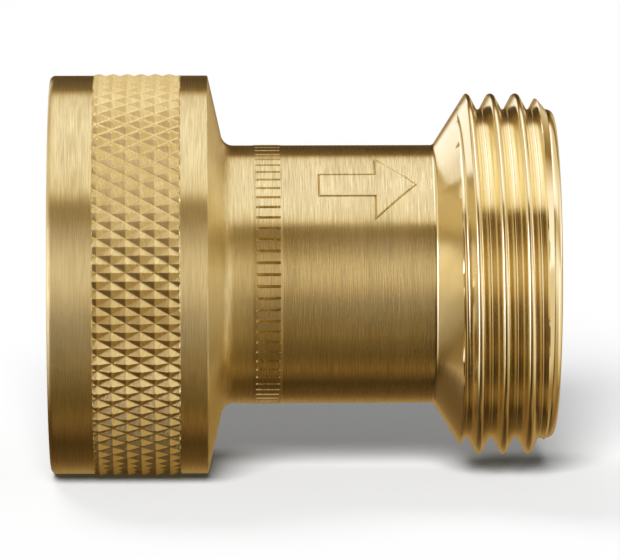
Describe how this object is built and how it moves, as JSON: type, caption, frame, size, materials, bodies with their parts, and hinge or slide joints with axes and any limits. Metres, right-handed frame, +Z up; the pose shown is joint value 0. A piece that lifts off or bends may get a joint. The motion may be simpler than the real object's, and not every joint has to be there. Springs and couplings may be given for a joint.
{
  "type": "water pressure regulator",
  "caption": "In-line brass water pressure regulator with a knurled threaded inlet collar, a plain waisted neck and a male threaded outlet.",
  "frame": {"origin": "on the flow axis, in the plane of the inlet rim, where the tap's thread enters", "axes": "+X along the flow from the inlet to the outlet, +Z up"},
  "size_m": [0.0368, 0.0294, 0.0294],
  "materials": {
    "brass_body": "fine turned, polished on the cones and threads",
    "cartridge_brass": "turned",
    "stainless_steel": "satin",
    "spring_steel": "drawn wire",
    "black_rubber": "moulded, matt",
    "white_acetal": "machined, satin",
    "ptfe": "waxy"
  },
  "bodies": {
    "casing": {"body": "brass_body", "inlet_washer": "black_rubber", "strainer_rim": "stainless_steel", "strainer_mesh": "stainless_steel", "retaining_ring": "cartridge_brass", "seat_carrier": "white_acetal", "seat_disc": "black_rubber", "seat_screw": "stainless_steel", "stem_guide": "white_acetal", "guide_o_ring": "black_rubber", "stem_o_ring": "black_rubber", "spring_washer": "stainless_steel", "spring": "spring_steel"},
    "piston": {"piston_stem": "stainless_steel", "piston_head": "cartridge_brass", "piston_o_ring": "black_rubber", "piston_wear_ring": "ptfe"}
  },
  "joints": [
    {"name": "piston_slide", "type": "slide", "parent": "casing", "child": "piston", "axis": [-1, 0, 0], "range_m": [0, 0.0012], "stiffness_N_per_m": 4650, "deforming": ["spring"]}
  ]
}
